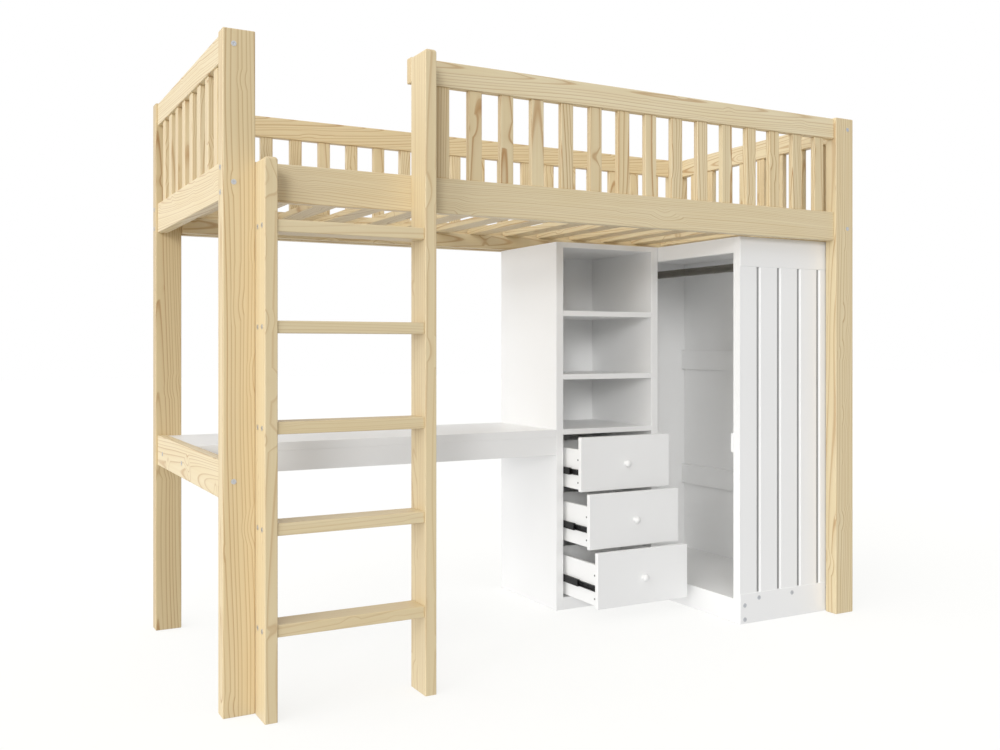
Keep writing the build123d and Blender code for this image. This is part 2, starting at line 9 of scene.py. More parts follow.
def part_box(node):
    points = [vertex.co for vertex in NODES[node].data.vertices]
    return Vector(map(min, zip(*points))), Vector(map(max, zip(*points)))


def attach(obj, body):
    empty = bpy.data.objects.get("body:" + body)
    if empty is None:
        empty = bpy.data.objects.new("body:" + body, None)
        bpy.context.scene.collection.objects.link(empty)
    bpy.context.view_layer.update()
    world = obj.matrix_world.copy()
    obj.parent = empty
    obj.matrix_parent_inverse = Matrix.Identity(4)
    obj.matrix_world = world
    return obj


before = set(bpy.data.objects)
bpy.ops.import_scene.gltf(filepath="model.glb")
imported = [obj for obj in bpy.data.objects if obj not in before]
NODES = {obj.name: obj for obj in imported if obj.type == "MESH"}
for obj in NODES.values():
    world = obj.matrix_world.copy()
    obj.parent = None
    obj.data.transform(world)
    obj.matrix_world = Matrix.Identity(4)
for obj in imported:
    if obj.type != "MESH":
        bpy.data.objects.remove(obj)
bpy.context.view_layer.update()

bl_info = {
    "name": "Pine loft bed with white desk and wardrobe",
    "version": (1, 0, 0),
    "blender": (4, 5, 0),
    "location": "3D View > Sidebar > Loft Bed",
    "description": "Dresses the loft bed in pine, white lacquer and steel, and sets up its studio",
    "category": "Object",
}

MM = 0.001
AXES = {"X": 0, "Y": 1, "Z": 2}


# ------------------------------------------------------------------ colour and node helpers
def linear(hex_code):
    """An sRGB hex colour as linear red, green, blue and alpha."""
    parts = [int(hex_code[i:i + 2], 16) / 255 for i in (1, 3, 5)]
    return (*[c / 12.92 if c <= 0.04045 else ((c + 0.055) / 1.055) ** 2.4 for c in parts], 1.0)


def node(tree, kind, *values, inputs=None, stops=None, **settings):
    """Add a shader node, set it up, and give its inputs values or links.

    values go to the inputs in use, in order, and inputs names others. Each is a number, a
    vector, a hex colour, an output, or a node whose first output is meant. stops are a
    ramp's places, each with a grey or a hex colour.
    """
    new = tree.nodes.new("ShaderNode" + kind)
    for name, value in settings.items():
        setattr(new, name, value)
    sockets = [s for s in new.inputs if s.enabled]
    pairs = list(zip(sockets, values))
    pairs += [(next(s for s in sockets if s.name == name), value)
              for name, value in (inputs or {}).items()]
    for socket, value in pairs:
        if isinstance(value, str):
            value = linear(value)
        elif isinstance(value, bpy.types.Node):
            value = next(o for o in value.outputs if o.enabled)
        if isinstance(value, bpy.types.NodeSocket):
            tree.links.new(value, socket)
        else:
            socket.default_value = value
    for i, (place, tone) in enumerate(stops or ()):
        elements = new.color_ramp.elements
        if i >= len(elements):
            elements.new(1.0)
        elements[i].position = place
        elements[i].color = linear(tone) if isinstance(tone, str) else (tone, tone, tone, 1.0)
    return new


def empty_material(name):
    """A material with no nodes yet, and its tree."""
    material = bpy.data.materials.new(name)
    material.use_nodes = True
    material.node_tree.nodes.clear()
    return material, material.node_tree


def edge_mask(tree, radius):
    """1 on an edge's rounding and 0 on flat faces, from how far a rounded normal turns."""
    rounded = node(tree, "Bevel", radius, samples=4)
    straight = node(tree, "NewGeometry").outputs["Normal"]
    alike = node(tree, "VectorMath", rounded, straight, operation="DOT_PRODUCT")
    return node(tree, "MapRange", alike.outputs["Value"], 0.995, 0.86, 0.0, 1.0)


def dress(material, *names):
    """Give CAD nodes a material."""
    for name in names:
        data = NODES[name].data
        data.materials.clear()
        data.materials.append(material)


# ------------------------------------------------------------------ pine
def board_cells(name, counts):
    """Cell size and corner that put each board of a node in a cell of its own.

    counts gives, for an axis, how many boards stand side by side and how wide each is.
    """
    low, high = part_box(name)
    size, corner = [], []
    for axis, i in AXES.items():
        count, width = counts.get(axis, (1, high[i] - low[i]))
        pitch = (high[i] - low[i] - width) / (count - 1) if count > 1 else width * 1.5
        size.append(pitch)
        corner.append((low[i] + high[i]) / 2 - count * pitch / 2)
    return Vector(size), Vector(corner)


def pine(name, grain, counts, seed, pith, years, taper, lines, warmth, tone):
    """Planed pine with a thin clear matt varnish, its grain along one axis.

    Growth rings are cones round a pith that lies outside most boards, so faces show long
    arches and straight lines and ends show arcs. The eye sees pale cream early wood, thin
    honey-brown late wood, the odd swirl where a branch was near, and a soft sheen.
    """
    material, tree = empty_material(f"planed_pine_{name}")
    size, corner = board_cells(name, counts)
    place = node(tree, "TexCoord").outputs["Object"]
    shifted = node(tree, "VectorMath", place, corner, operation="SUBTRACT")
    cells = node(tree, "VectorMath", shifted, size, operation="DIVIDE")
    index = node(tree, "VectorMath", cells, operation="FLOOR")
    seeded = node(tree, "VectorMath", index, (seed, seed * 3, 7), operation="ADD")
    luck = node(tree, "TexWhiteNoise", seeded, noise_dimensions="3D").outputs["Color"]
    luck = node(tree, "SeparateColor", luck).outputs
    inside = node(tree, "VectorMath", cells, index, operation="SUBTRACT")
    centred = node(tree, "VectorMath", inside, (0.5, 0.5, 0.5), operation="SUBTRACT")
    local = node(tree, "VectorMath", centred, size, operation="MULTIPLY")
    parts = node(tree, "SeparateXYZ", local)
    across = [parts.outputs[axis] for axis in AXES if axis != grain]

    # Each board is cut from its own place in the tree.
    length = node(tree, "Math", luck[2], 9.0, parts.outputs[grain], operation="MULTIPLY_ADD")
    turn = node(tree, "Math", luck[0], math.tau, operation="MULTIPLY")
    reach = node(tree, "MapRange", luck[1], 0.0, 1.0, *pith)
    u, v = [node(tree, "Math", node(tree, "Math", turn, operation=trig), reach, side,
                 operation="MULTIPLY_ADD")
            for trig, side in zip(("COSINE", "SINE"), across)]

    # The trunk bends and swells slowly, which draws the arches out. Near a branch the rings
    # swirl over a hand's length.
    slow = node(tree, "Math", length, 0.16, operation="MULTIPLY")
    trunk = node(tree, "CombineXYZ", u, v, slow)
    bend = node(tree, "TexNoise", inputs={"Vector": trunk, "Scale": 9.0, "Detail": 0.4})
    bend = node(tree, "MapRange", bend, 0.0, 1.0, -0.018, 0.018)
    swirl_place = node(tree, "CombineXYZ", u, v, node(tree, "Math", length, 0.6,
                                                      operation="MULTIPLY"))
    swirl = node(tree, "TexNoise", inputs={"Vector": swirl_place, "Scale": 15.0,
                                           "Detail": 0.0})
    swirl = node(tree, "MapRange", swirl, 0.64, 0.90, 0.0, 0.012)
    radius = node(tree, "VectorMath", node(tree, "CombineXYZ", u, v), operation="LENGTH")
    cone = node(tree, "Math", length, taper, radius.outputs["Value"],
                operation="MULTIPLY_ADD")
    swollen = node(tree, "Math", node(tree, "Math", cone, bend, operation="ADD"), swirl,
                   operation="ADD")

    # Years are not all alike: their widths wander, and some late wood is stronger.
    even = node(tree, "Math", swollen, years, operation="DIVIDE")
    wander = node(tree, "TexNoise", noise_dimensions="1D", inputs={
        "W": node(tree, "Math", even, 0.37, operation="MULTIPLY"), "Scale": 1.0,
        "Detail": 1.0})
    count = node(tree, "Math", wander, 1.6, even, operation="MULTIPLY_ADD")
    strength = node(tree, "TexWhiteNoise", node(tree, "Math", count, operation="FLOOR"),
                    noise_dimensions="1D")
    late = node(tree, "ValToRGB", node(tree, "Math", count, operation="FRACT"),
                stops=((0.0, 0.35), (0.07, 0.0), (0.55, 0.05), (0.78, 0.25), (0.89, 1.0),
                       (1.0, 0.65)))
    faded = node(tree, "MapRange", strength, 0.0, 1.0, 0.6, 1.0)
    late = node(tree, "Math", late, faded, operation="MULTIPLY")

    # Fibres and resin canals are thin streaks, drawn 1 mm wide so that they show.
    fibre_place = node(tree, "CombineXYZ", u, v,
                       node(tree, "Math", length, 0.02, operation="MULTIPLY"))
    fibre = node(tree, "TexNoise", inputs={"Vector": fibre_place, "Scale": 900.0})
    streak = node(tree, "TexNoise", inputs={"Vector": fibre_place, "Scale": 130.0,
                                            "Detail": 1.0})
    blotch = node(tree, "TexNoise", inputs={"Vector": trunk, "Scale": 26.0, "Detail": 1.0})

    early = node(tree, "Mix", blotch, "#EBDDB8", "#E3D1A4", data_type="RGBA")
    warm = node(tree, "Math", luck[1], 0.3, warmth, operation="MULTIPLY_ADD")
    early = node(tree, "Mix", warm, early, "#E0C48C", data_type="RGBA")
    line = node(tree, "Math", late, lines, operation="MULTIPLY")
    colour = node(tree, "Mix", line, early, "#A26A28", data_type="RGBA")
    shade = node(tree, "MapRange", streak, 0.3, 0.7, 0.0, 0.22)
    colour = node(tree, "Mix", shade, colour, "#D2B27E", data_type="RGBA")

    # End grain drinks the varnish and looks darker and duller.
    facing = node(tree, "SeparateXYZ", node(tree, "NewGeometry").outputs["True Normal"])
    end = node(tree, "Math", facing.outputs[grain], operation="ABSOLUTE")
    end = node(tree, "MapRange", end, 0.75, 0.97, interpolation_type="SMOOTHSTEP")
    colour = node(tree, "Mix", node(tree, "Math", end, 0.45, operation="MULTIPLY"), colour,
                  "#CBA96F", data_type="RGBA")

    # Corners were eased by sanding, and their rounding is drawn darker and warmer.
    edge_tint = node(tree, "Math", edge_mask(tree, 3 * MM), 0.3, operation="MULTIPLY")
    colour = node(tree, "Mix", edge_tint, colour, "#D6B57E", data_type="RGBA")
    value = node(tree, "MapRange", luck[0], 0.0, 1.0, tone - 0.05, tone + 0.03)
    colour = node(tree, "HueSaturation", inputs={"Color": colour, "Value": value})
    rough = node(tree, "MapRange", node(tree, "Math", late, end, operation="ADD"), 0.0, 1.5,
                 0.42, 0.6)
    height = node(tree, "Math", fibre, 0.6, late, operation="MULTIPLY_ADD")
    bump = node(tree, "Bump", inputs={"Strength": 0.2, "Distance": 0.25 * MM,
                                      "Height": height})
    shader = node(tree, "BsdfPrincipled", inputs={
        "Base Color": colour, "Roughness": rough, "IOR": 1.5, "Normal": bump})
    node(tree, "OutputMaterial", shader)
    return material


# Each pine node's grain, how its boards lie side by side, its seed, its pith's distance, the
# width of a year, how fast the trunk tapers, how strong its lines are, and how warm and how
# light it is drawn.
PINE_BOARDS = {
    "post_front_left": ("Z", {}, 1, (0.045, 0.06), 0.010, 0.014, 0.75, 0.30, 1.0),
    "post_front_right": ("Z", {}, 2, (0.03, 0.07), 0.009, 0.014, 0.75, 0.15, 0.98),
    # The back left post is drawn darker and warmer than the others.
    "post_back_left": ("Z", {}, 3, (0.03, 0.07), 0.009, 0.02, 0.9, 0.6, 0.85),
    "post_back_right": ("Z", {}, 4, (0.03, 0.07), 0.009, 0.014, 0.8, 0.3, 0.97),
    "side_rail_front": ("X", {}, 5, (0.05, 0.08), 0.005, 0.010, 0.6, 0.15, 0.98),
    "side_rail_back": ("X", {}, 6, (0.05, 0.08), 0.006, 0.010, 0.7, 0.2, 0.97),
    "bed_end_rails": ("Y", {"X": (2, 0.030)}, 7, (0.03, 0.06), 0.006, 0.03, 0.8, 0.0, 0.98),
    "desk_end_rail": ("Y", {}, 8, (0.03, 0.06), 0.006, 0.02, 0.8, 0.0, 1.0),
    "guard_rail_front": ("X", {}, 9, (0.03, 0.06), 0.007, 0.02, 0.7, -0.2, 0.98),
    "guard_rail_back": ("X", {}, 10, (0.02, 0.04), 0.009, 0.09, 0.8, 0.2, 1.0),
    "guard_rails_ends": ("Y", {"X": (2, 0.030)}, 11, (0.03, 0.06), 0.007, 0.03, 0.8, 0.1,
                         0.98),
    "guard_slats_front": ("Z", {"X": (15, 0.040)}, 12, (0.03, 0.07), 0.008, 0.02, 1.0, 0.2,
                          0.97),
    "guard_slats_back": ("Z", {"X": (19, 0.040)}, 13, (0.03, 0.07), 0.008, 0.04, 0.9, 0.2,
                         0.98),
    "guard_slats_ends": ("Z", {"X": (2, 0.020), "Y": (8, 0.040)}, 14, (0.03, 0.07), 0.008,
                         0.02, 0.8, 0.3, 0.97),
    "slat_cleats": ("X", {"Y": (2, 0.030)}, 15, (0.03, 0.06), 0.007, 0.02, 0.8, 0.3, 0.93),
    "bed_slats": ("Y", {"X": (14, 0.066)}, 16, (0.02, 0.06), 0.008, 0.03, 0.8, 0.3, 0.90),
    "ladder_stile_left": ("Z", {}, 17, (0.05, 0.08), 0.009, 0.010, 0.45, 0.2, 0.95),
    "ladder_stile_right": ("Z", {}, 18, (0.05, 0.08), 0.009, 0.010, 0.45, 0.2, 0.96),
    "ladder_rungs": ("X", {"Z": (5, 0.030)}, 19, (0.03, 0.06), 0.007, 0.010, 0.35, 0.15,
                     0.96),
}


# ------------------------------------------------------------------ other finishes
GROOVE_PITCH = 87 * MM
FIRST_GROOVE = 78 * MM         # from the wardrobe's left edge


def white_lacquer(name, base, roughness, shaded_grooves=None):
    """Board sprayed with satin white lacquer. The eye sees near white, a broad soft sheen,
    fine orange peel and arrises painted slightly brighter as a painted highlight.

    The argument after roughness gives the axis across the grooves and one groove's place on
    it. Near the bottom of each groove a dark line of painted shade is drawn, standing for the
    shade in the groove's sides; it is drawn 6 mm wide.
    """
    material, tree = empty_material(name)
    place = node(tree, "TexCoord").outputs["Object"]
    cloud = node(tree, "TexNoise", inputs={"Vector": place, "Scale": 3.0, "Detail": 3.0})
    peel = node(tree, "TexNoise", inputs={"Vector": place, "Scale": 420.0, "Detail": 1.0})
    colour = node(tree, "Mix", cloud, (*base, 1.0), "#F8F8F7", data_type="RGBA")
    # The arrises are painted a little brighter as a painted highlight.
    edge_tint = node(tree, "Math", edge_mask(tree, 0.8 * MM), 0.35, operation="MULTIPLY")
    colour = node(tree, "Mix", edge_tint, colour, "#FBFBFA", data_type="RGBA")
    if shaded_grooves:
        axis, first = shaded_grooves
        along = node(tree, "SeparateXYZ", place).outputs[axis]
        nearest = node(tree, "Math", node(tree, "Math", along, first, operation="SUBTRACT"),
                       GROOVE_PITCH / 2, operation="PINGPONG")
        # Painted shade: near the bottom of each groove its sides are darkened where they lie in
        # shade.
        groove_shade = node(tree, "MapRange", nearest, 3.2 * MM, 4.8 * MM, 0.85, 0.0)
        # A flat face has no slope across the grooves, so only their sides are darkened.
        normal = node(tree, "SeparateXYZ", node(tree, "NewGeometry").outputs["True Normal"])
        slope = node(tree, "Math", normal.outputs["X"], normal.outputs["Y"],
                     operation="MULTIPLY")
        slope = node(tree, "Math", slope, operation="ABSOLUTE")
        slope = node(tree, "MapRange", slope, 0.2, 0.4)
        groove_shade = node(tree, "Math", groove_shade, slope, operation="MULTIPLY")
        colour = node(tree, "Mix", groove_shade, colour, "#5F5F5D", data_type="RGBA")
    rough = node(tree, "MapRange", cloud, 0.0, 1.0, roughness - 0.05, roughness + 0.07)
    bump = node(tree, "Bump", inputs={"Strength": 0.08, "Distance": 0.1 * MM,
                                      "Height": peel})
    shader = node(tree, "BsdfPrincipled", inputs={
        "Base Color": colour, "Roughness": rough, "IOR": 1.48, "Normal": bump})
    node(tree, "OutputMaterial", shader)
    return material


def coated_steel(name, hex_code, dust_and_sheen_code, roughness):
    """Pressed steel with black electro-coat, or moulded black nylon. The eye sees near black
    with a little dust, and edges painted slightly lighter as a painted sheen."""
    material, tree = empty_material(name)
    place = node(tree, "TexCoord").outputs["Object"]
    dust = node(tree, "TexNoise", inputs={"Vector": place, "Scale": 160.0, "Detail": 3.0})
    part = node(tree, "Math", dust, 0.2, operation="MULTIPLY")
    colour = node(tree, "Mix", part, hex_code, dust_and_sheen_code, data_type="RGBA")
    # The edges are painted lighter as a painted sheen.
    edge_tint = node(tree, "Math", edge_mask(tree, 0.8 * MM), 0.4, operation="MULTIPLY")
    colour = node(tree, "Mix", edge_tint, colour, dust_and_sheen_code, data_type="RGBA")
    rough = node(tree, "MapRange", dust, 0.0, 1.0, roughness - 0.06, roughness + 0.1)
    bump = node(tree, "Bump", inputs={"Strength": 0.06, "Distance": 0.1 * MM,
                                      "Height": dust})
    shader = node(tree, "BsdfPrincipled", inputs={
        "Base Color": colour, "Roughness": rough, "IOR": 1.5, "Specular IOR Level": 0.2,
        "Normal": bump})
    node(tree, "OutputMaterial", shader)
    return material


def plated_steel(name, hex_code, bright_code, roughness, stretch=(1.0, 1.0, 1.0)):
    """Bright zinc plate, or steel drawn along an axis. The eye sees grey metal with fine
    uneven gloss, brighter where edges are rubbed."""
    material, tree = empty_material(name)
    place = node(tree, "TexCoord").outputs["Object"]
    drawn = node(tree, "VectorMath", place, stretch, operation="MULTIPLY")
    grit = node(tree, "TexNoise", inputs={"Vector": drawn, "Scale": 600.0, "Detail": 2.0})
    colour = node(tree, "Mix", grit, hex_code, bright_code, data_type="RGBA")
    edge_tint = node(tree, "Math", edge_mask(tree, 0.6 * MM), 0.5, operation="MULTIPLY")
    colour = node(tree, "Mix", edge_tint, colour, bright_code, data_type="RGBA")
    rough = node(tree, "MapRange", grit, 0.0, 1.0, roughness - 0.08, roughness + 0.1)
    bump = node(tree, "Bump", inputs={"Strength": 0.1, "Distance": 0.05 * MM,
                                      "Height": grit})
    shader = node(tree, "BsdfPrincipled", inputs={
        "Base Color": colour, "Metallic": 1.0, "Roughness": rough, "Normal": bump})
    node(tree, "OutputMaterial", shader)
    return material


# ------------------------------------------------------------------ small fittings
def turned(bm, matrix, profile, sides=20):
    """Add a shape turned about Z from (radius, height) pairs in millimetres to a bmesh."""
    rings = []
    for radius, height in profile:
        if radius == 0:
            rings.append([bm.verts.new(matrix @ Vector((0, 0, height * MM)))])
            continue
        rings.append([bm.verts.new(matrix @ Vector((
            radius * MM * math.cos(math.tau * i / sides),
            radius * MM * math.sin(math.tau * i / sides), height * MM)))
            for i in range(sides)])
    for lower, upper in zip(rings, rings[1:]):
        for i in range(sides):
            j = (i + 1) % sides
            corners = [lower[i % len(lower)], lower[j % len(lower)],
                       upper[j % len(upper)], upper[i % len(upper)]]
            corners = list(dict.fromkeys(corners))
            if len(corners) > 2:
                bm.faces.new(corners).smooth = True


def screw_head(bm, matrix, radius, height, recess_depth):
    """A pan head whose top stops round its cross recess."""
    half = radius * 0.52
    arm = half * 0.32
    outline = [(half, arm), (arm, arm), (arm, half), (-arm, half), (-arm, arm), (-half, arm),
               (-half, -arm), (-arm, -arm), (-arm, -half), (arm, -half), (arm, -arm),
               (half, -arm)]
    angles = [math.atan2(y, x) for x, y in outline]
    rings = [[(radius * math.cos(a), radius * math.sin(a), 0) for a in angles],
             [(radius * math.cos(a), radius * math.sin(a), height * 0.35) for a in angles],
             [(radius * 0.9 * math.cos(a), radius * 0.9 * math.sin(a), height * 0.75)
              for a in angles],
             [(radius * 0.7 * math.cos(a), radius * 0.7 * math.sin(a), height)
              for a in angles],
             [(x, y, height) for x, y in outline],
             [(x * 0.6, y * 0.6, height - recess_depth) for x, y in outline]]
    rings = [[bm.verts.new(matrix @ (Vector(point) * MM)) for point in ring]
             for ring in rings]
    for level, (lower, upper) in enumerate(zip(rings, rings[1:])):
        for i in range(len(lower)):
            j = (i + 1) % len(lower)
            bm.faces.new((lower[i], lower[j], upper[j], upper[i])).smooth = level < 3
    bm.faces.new(rings[-1])


def bar(bm, matrix, outline, start, end, bevel):
    """Add a bar with a closed outline in XY, run along Z and eased at its edges, in mm."""
    low = [bm.verts.new(Vector((x, y, start)) * MM) for x, y in outline]
    high = [bm.verts.new(Vector((x, y, end)) * MM) for x, y in outline]
    faces = [bm.faces.new(low[::-1]), bm.faces.new(high)]
    for i in range(len(low)):
        j = (i + 1) % len(low)
        faces.append(bm.faces.new((low[i], low[j], high[j], high[i])))
    edges = {edge for face in faces for edge in face.edges}
    eased = bmesh.ops.bevel(bm, geom=list(edges), offset=bevel * MM, segments=2,
                            affect="EDGES", profile=0.5)
    verts = {vert for face in eased["faces"] for vert in face.verts}
    verts |= {vert for face in faces if face.is_valid for vert in face.verts}
    bmesh.ops.transform(bm, matrix=matrix, verts=list(verts))


def add_piece(name, bm, material, body):
    """Turn a bmesh into a piece that rides on a body."""
    bmesh.ops.recalc_face_normals(bm, faces=bm.faces)
    mesh = bpy.data.meshes.new(name)
    bm.to_mesh(mesh)
    bm.free()
    mesh.materials.append(material)
    obj = bpy.data.objects.new(name, mesh)
    bpy.context.scene.collection.objects.link(obj)
    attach(obj, body)
    return obj


def facing(point, way):
    """A matrix that puts Z along a way, at a point in metres."""
    return Matrix.Translation(point) @ Vector(way).to_track_quat("Z", "Y").to_matrix().to_4x4()


DRAWERS = ("top", "middle", "bottom")


def slide_fittings(black, nylon, grey):
    """Screws, release levers and stops on the drawer slides, and screws through the boxes."""
    for name in DRAWERS:
        low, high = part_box(f"drawer_box_{name}")
        inner_low, inner_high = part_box(f"slide_inner_{name}")
        link_low, link_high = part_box(f"slide_middle_{name}")
        centre = (inner_low[2] + inner_high[2]) / 2
        sides = ((-1, low[0], inner_low[0], link_low[0]),
                 (1, high[0], inner_high[0], link_high[0]))

        bm = bmesh.new()
        for way, face, _, _ in sides:
            for z in (low[2] + 22 * MM, low[2] + 99 * MM):
                for y in (low[1] + 19 * MM, high[1] - 9 * MM):
                    screw_head(bm, facing((face, y, z), (way, 0, 0)), 3.4, 1.3, 0.9)
        add_piece(f"drawer_side_screws_{name}", bm, grey, f"drawer_{name}")

        bm = bmesh.new()
        for way, face, _, _ in sides:
            web = face + way * 1.4 * MM
            for y in (22, 58, 200, 330):
                point = (web, inner_low[1] + y * MM, centre)
                screw_head(bm, facing(point, (way, 0, 0)), 3.2, 2.2, 1.1)
        add_piece(f"slide_screws_{name}", bm, black, f"drawer_{name}")

        bm = bmesh.new()
        for way, face, _, _ in sides:
            # A springy lever, hooked at one end, lies in the channel of the inner member.
            outline = [(-30, -2.2), (22, -3.4), (30, -6.0), (34, -6.0), (34, -2.0),
                       (24, 1.2), (-8, 2.4), (-30, 2.4)]
            spin = Matrix(((0, 0, way, 0), (1, 0, 0, 0), (0, 1, 0, 0), (0, 0, 0, 1)))
            spot = Matrix.Translation((face + way * 3.0 * MM, inner_low[1] + 118 * MM,
                                       centre)) @ spin
            bar(bm, spot, outline, 0, 2.4, 0.5)
            # The front end is pinched to a rounded nose.
            nose = [(0, -6.4), (5, -7.6), (12, -7.0), (12, 7.0), (5, 7.6), (0, 6.4)]
            spot = Matrix.Translation((face + way * 2.0 * MM, inner_low[1] + 3 * MM,
                                       centre)) @ spin
            bar(bm, spot, nose, 0, 5.6, 0.6)
        add_piece(f"slide_levers_{name}", bm, nylon, f"drawer_{name}")

        bm = bmesh.new()
        for way, face, _, outer in sides:
            # A nylon bumper caps the front of the middle member.
            tall = (link_high[2] - link_low[2]) / 2 / MM
            outline = [(-1.5, -tall + 1.2), (3, -tall - 0.4), (13, -tall - 0.4),
                       (13, tall + 0.4), (3, tall + 0.4), (-1.5, tall - 1.2)]
            spin = Matrix(((0, 0, -way, 0), (1, 0, 0, 0), (0, 1, 0, 0), (0, 0, 0, 1)))
            spot = Matrix.Translation((outer - way * 0.2 * MM, link_low[1] + 2 * MM,
                                       centre)) @ spin
            bar(bm, spot, outline, 0, 2.0, 0.5)
        add_piece(f"slide_bumpers_{name}", bm, nylon, f"slide_link_{name}")


BED_SLATS = 14
BED_SLAT_WIDTH = 66 * MM
SLAT_SCREW_INSET = 15 * MM     # from a slat's end, over the middle of the cleat
NUT_INSET = 50 * MM            # from a rail's end to its barrel nut
UPPER_NUT_HEIGHT = 1338 * MM
END_RAIL_THICK = 30 * MM


def frame_fittings(zinc, screw_radius):
    """Screws through the bed slats, and barrel nuts in the rails."""
    low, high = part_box("bed_slats")
    pitch = (high[0] - low[0] - BED_SLAT_WIDTH) / (BED_SLATS - 1)
    bm = bmesh.new()
    for i in range(BED_SLATS):
        for y in (low[1] + SLAT_SCREW_INSET, high[1] - SLAT_SCREW_INSET):
            x = low[0] + BED_SLAT_WIDTH / 2 + pitch * i
            screw_head(bm, facing((x, y, high[2]), (0, 0, 1)), screw_radius / MM, 0.9, 0.8)
    add_piece("bed_slat_screws", bm, zinc, "bed")

    bm = bmesh.new()
    dish = [(5.0, 0.0), (5.0, 0.5), (4.6, 0.8), (3.4, 0.8), (2.6, 0.3), (0, 0.3)]
    for name, inward in (("side_rail_front", 1), ("side_rail_back", -1)):
        rail_low, rail_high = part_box(name)
        face = rail_high[1] if inward > 0 else rail_low[1]
        # The lower nuts sit in the cleat's end, so only the upper ones show.
        for x in (rail_low[0] + NUT_INSET, rail_high[0] - NUT_INSET):
            turned(bm, facing((x, face, UPPER_NUT_HEIGHT), (0, inward, 0)), dish)
    for name in ("bed_end_rails", "desk_end_rail"):
        rail_low, rail_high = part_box(name)
        z = (rail_low[2] + rail_high[2]) / 2
        for y in (rail_low[1] + NUT_INSET, rail_high[1] - NUT_INSET):
            turned(bm, facing((rail_low[0] + END_RAIL_THICK, y, z), (1, 0, 0)), dish)
            if name == "bed_end_rails":
                turned(bm, facing((rail_high[0] - END_RAIL_THICK, y, z), (-1, 0, 0)), dish)
    add_piece("barrel_nuts", bm, zinc, "bed")


# ------------------------------------------------------------------ settings
class LoftBedFinish(bpy.types.PropertyGroup):
    """White paint and slat screws."""
    lacquer_colour: bpy.props.FloatVectorProperty(
        name="Lacquer colour", description="Colour of the desk, tower, wardrobe and fronts",
        default=linear("#F3F3F2")[:3], size=3, subtype="COLOR", min=0, max=1)
    foil_colour: bpy.props.FloatVectorProperty(
        name="Drawer box colour", description="Colour of the foil on the drawer boxes",
        default=linear("#F2F2F0")[:3], size=3, subtype="COLOR", min=0, max=1)
    slat_screw_radius: bpy.props.FloatProperty(
        name="Slat screw radius", description="Radius of the heads of the bed slats' screws",
        default=4 * MM, min=MM, max=8 * MM, unit="LENGTH")


class LoftBedStage(bpy.types.PropertyGroup):
    """Light, floor and camera."""
    floor_colour: bpy.props.FloatVectorProperty(
        name="Floor colour", description="Colour of the pale studio floor",
        default=linear("#F4F4F2")[:3], size=3, subtype="COLOR", min=0, max=1)
    key_strength: bpy.props.FloatProperty(
        name="Key light", description="Strength of the soft light from the left", default=0.25,
        min=0)
    front_strength: bpy.props.FloatProperty(
        name="Front light", description="Strength of the soft light beside the camera",
        default=0.92, min=0)
    fill_strength: bpy.props.FloatProperty(
        name="Fill light", description="Strength of the even light all round", default=1.0,
        min=0)
    camera_height: bpy.props.FloatProperty(
        name="Camera height", description="Height of the lens over the floor", default=0.8984,
        min=0, unit="LENGTH")


# How bright the studio's white walls are: even light from above and below, then each wide
# soft box by the way to it and its brightness.
UPPER_GLOW = 0.16
LOWER_GLOW = 0.14
SOFT_BOXES = (
    ((-0.97, -0.05, 0.20), 1.95),
    ((-0.68, -0.68, 0.25), 0.40),
    ((-0.82, 0.49, 0.28), 0.40),
    ((0.98, 0.0, 0.17), 0.35),
    ((0.0, 0.0, 1.0), 1.15),
    ((0.0, 0.0, -1.0), 0.95),
)
# The way that each sun's light travels, and how many degrees wide the sun looks.
KEY_TRAVEL = (0.82, 0.57, -0.577)
KEY_WIDTH = 11
FRONT_TRAVEL = (0.5, 0.87, -0.21)
FRONT_WIDTH = 14
FLOOR_REACH = 30.0
FLOOR_DROP = 0.5 * MM          # keeps the floor clear of the feet

# A level camera that sees the left end and the front, its frame slid by the lens shift.
CAMERA_PLACE = (-1.6224, -3.1448)
CAMERA_TURN = -0.539
LENS = 38.859
SENSOR_WIDTH = 36.0
LENS_SHIFT = (-0.0872, -0.0274)


def build_floor(colour):
    """A wide floor in slightly uneven matt white paint, lit from behind like a light table,
    so that its shadows stay faint."""
    material, tree = empty_material("back_lit_matt_floor")
    place = node(tree, "TexCoord").outputs["Object"]
    cloud = node(tree, "TexNoise", inputs={"Vector": place, "Scale": 0.8, "Detail": 2.0})
    tone = node(tree, "Mix", cloud, (*[c * 0.25 for c in colour], 1.0),
                (*[c * 0.27 for c in colour], 1.0), data_type="RGBA")
    shader = node(tree, "BsdfPrincipled", inputs={
        "Base Color": tone, "Roughness": 0.8, "IOR": 1.45, "Emission Color": (*colour, 1.0),
        "Emission Strength": 0.84})
    node(tree, "OutputMaterial", shader)
    mesh = bpy.data.meshes.new("studio_floor")
    corners = [(x * FLOOR_REACH, y * FLOOR_REACH, 0)
               for x, y in ((-1, -1), (1, -1), (1, 1), (-1, 1))]
    mesh.from_pydata(corners, [], [(0, 1, 2, 3)])
    mesh.materials.append(material)
    floor = bpy.data.objects.new("studio_floor", mesh)
    floor.location.z = -FLOOR_DROP
    floor.visible_diffuse = False
    floor.visible_glossy = False
    bpy.context.scene.collection.objects.link(floor)
    return floor


